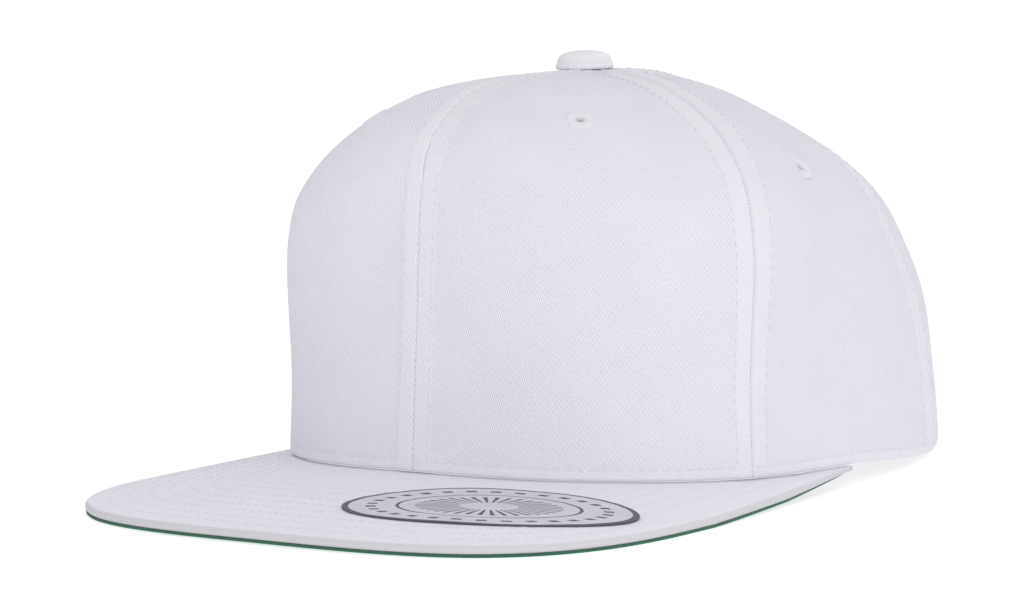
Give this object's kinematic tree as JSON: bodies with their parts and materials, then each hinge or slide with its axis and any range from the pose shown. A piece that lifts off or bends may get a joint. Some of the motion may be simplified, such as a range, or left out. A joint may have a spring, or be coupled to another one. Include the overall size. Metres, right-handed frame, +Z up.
{
  "type": "snapback cap",
  "caption": "Adult structured snapback cap with cloth panels, covered button, stitched eyelets, flat peak, green under-cloth and snap straps at the back.",
  "frame": {"origin": "on the surface that the cap rests on, under the middle of the whole cap, crown and peak", "axes": "+Z up, -Y forward along the peak, +X to the wearer's left"},
  "size_m": [0.18, 0.263, 0.1181],
  "materials": {
    "crown_cloth": "matt white twill",
    "eyelet_thread": "satin white thread",
    "button_cloth": "matt white twill",
    "peak_cloth": "matt white twill",
    "under_cloth": "matt green twill",
    "sweatband_cloth": "matt white twill",
    "strap_plastic": "semi-gloss white plastic",
    "sticker_foil": "silver foil with a dark border"
  },
  "bodies": {
    "root": {"panel_front_left": "crown_cloth", "panel_front_right": "crown_cloth", "panel_side_left": "crown_cloth", "panel_side_right": "crown_cloth", "panel_back_left": "crown_cloth", "panel_back_right": "crown_cloth", "eyelet_front_left": "eyelet_thread", "eyelet_front_right": "eyelet_thread", "eyelet_side_left": "eyelet_thread", "eyelet_side_right": "eyelet_thread", "eyelet_back_left": "eyelet_thread", "eyelet_back_right": "eyelet_thread", "button": "button_cloth", "peak": "peak_cloth", "peak_under": "under_cloth", "sweatband": "sweatband_cloth", "strap_holes": "strap_plastic", "strap_pegs": "strap_plastic", "sticker": "sticker_foil"}
  },
  "joints": []
}
